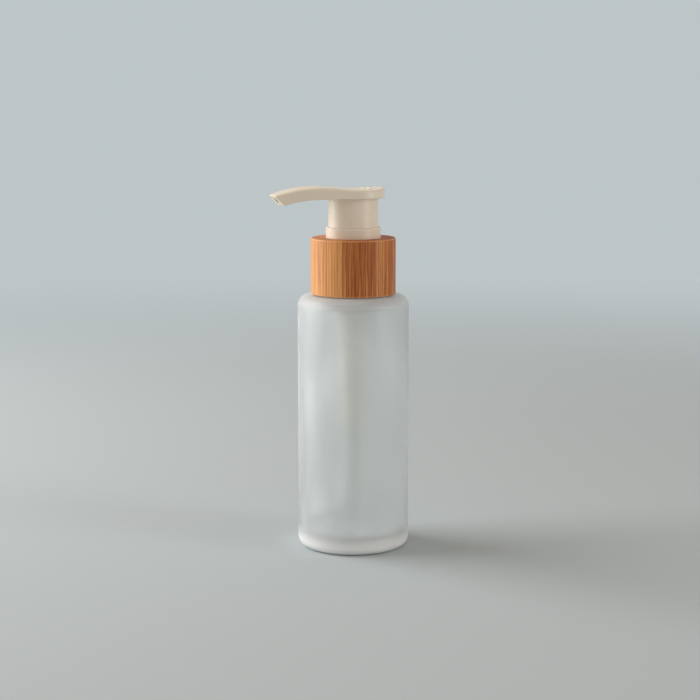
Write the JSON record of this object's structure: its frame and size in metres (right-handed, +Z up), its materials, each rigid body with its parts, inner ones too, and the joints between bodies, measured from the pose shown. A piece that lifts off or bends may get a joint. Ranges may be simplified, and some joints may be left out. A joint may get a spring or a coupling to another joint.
{
  "type": "pump oil bottle",
  "caption": "Cylindrical frosted glass oil bottle with a bamboo-clad screw collar and an ivory press-down pump head with a drooping spout.",
  "frame": {"origin": "on the bottle's axis, in the plane that the bottle stands on", "axes": "+Z up along the bottle's axis, spout towards -X"},
  "size_m": [0.0552, 0.044, 0.1436],
  "materials": {
    "frosted_glass": "acid-etched, frosted outside, smooth inside",
    "gasket_rubber": "matt",
    "natural_plastic": "milky, slightly translucent",
    "ivory_plastic": "moulded, semi-gloss",
    "white_plastic": "moulded, satin",
    "bamboo": "turned laminated bamboo, clear satin lacquer",
    "soft_plastic": "soft, satin",
    "spring_steel": "drawn stainless wire",
    "clear_glass": "polished",
    "tube_plastic": "milky, slightly translucent"
  },
  "bodies": {
    "bottle": {"bottle": "frosted_glass"},
    "pump": {"pump_housing": "natural_plastic", "lock_sleeve": "ivory_plastic", "neck_gasket": "gasket_rubber", "dip_tube": "tube_plastic", "return_spring": "spring_steel"},
    "closure": {"screw_closure": "white_plastic", "bamboo_sleeve": "bamboo"},
    "plunger": {"valve_rod": "natural_plastic"},
    "piston": {"piston": "soft_plastic"},
    "head": {"actuator_head": "ivory_plastic", "main_post": "white_plastic"},
    "inlet_ball": {"inlet_ball": "clear_glass"}
  },
  "joints": [
    {"name": "pump_lift", "type": "slide", "parent": "bottle", "child": "pump", "axis": [0, 0, 1], "range_m": [0, 0.00318]},
    {"name": "cap_turn", "type": "hinge", "parent": "pump", "child": "closure", "pos_m": [0, 0, 0.112], "axis": [0, 0, 1], "range_deg": [0, 360]},
    {"name": "head_press", "type": "slide", "parent": "pump", "child": "plunger", "axis": [0, 0, 1], "range_m": [-0.0108, 0], "stiffness_N_per_m": 900, "springref_m": 0.003, "deforming": ["return_spring"]},
    {"name": "piston_slip", "type": "slide", "parent": "plunger", "child": "piston", "axis": [0, 0, 1], "range_m": [0, 0.0008]},
    {"name": "head_twist", "type": "hinge", "parent": "plunger", "child": "head", "pos_m": [0, 0, 0.12], "axis": [0, 0, 1], "range_deg": [-90, 0]},
    {"name": "inlet_ball_lift", "type": "slide", "parent": "pump", "child": "inlet_ball", "axis": [0, 0, 1], "range_m": [0, 0.0012]}
  ],
  "couplings": [
    {"joint": "pump_lift", "follows": "cap_turn", "m_per_rad": 0.00050532}
  ]
}
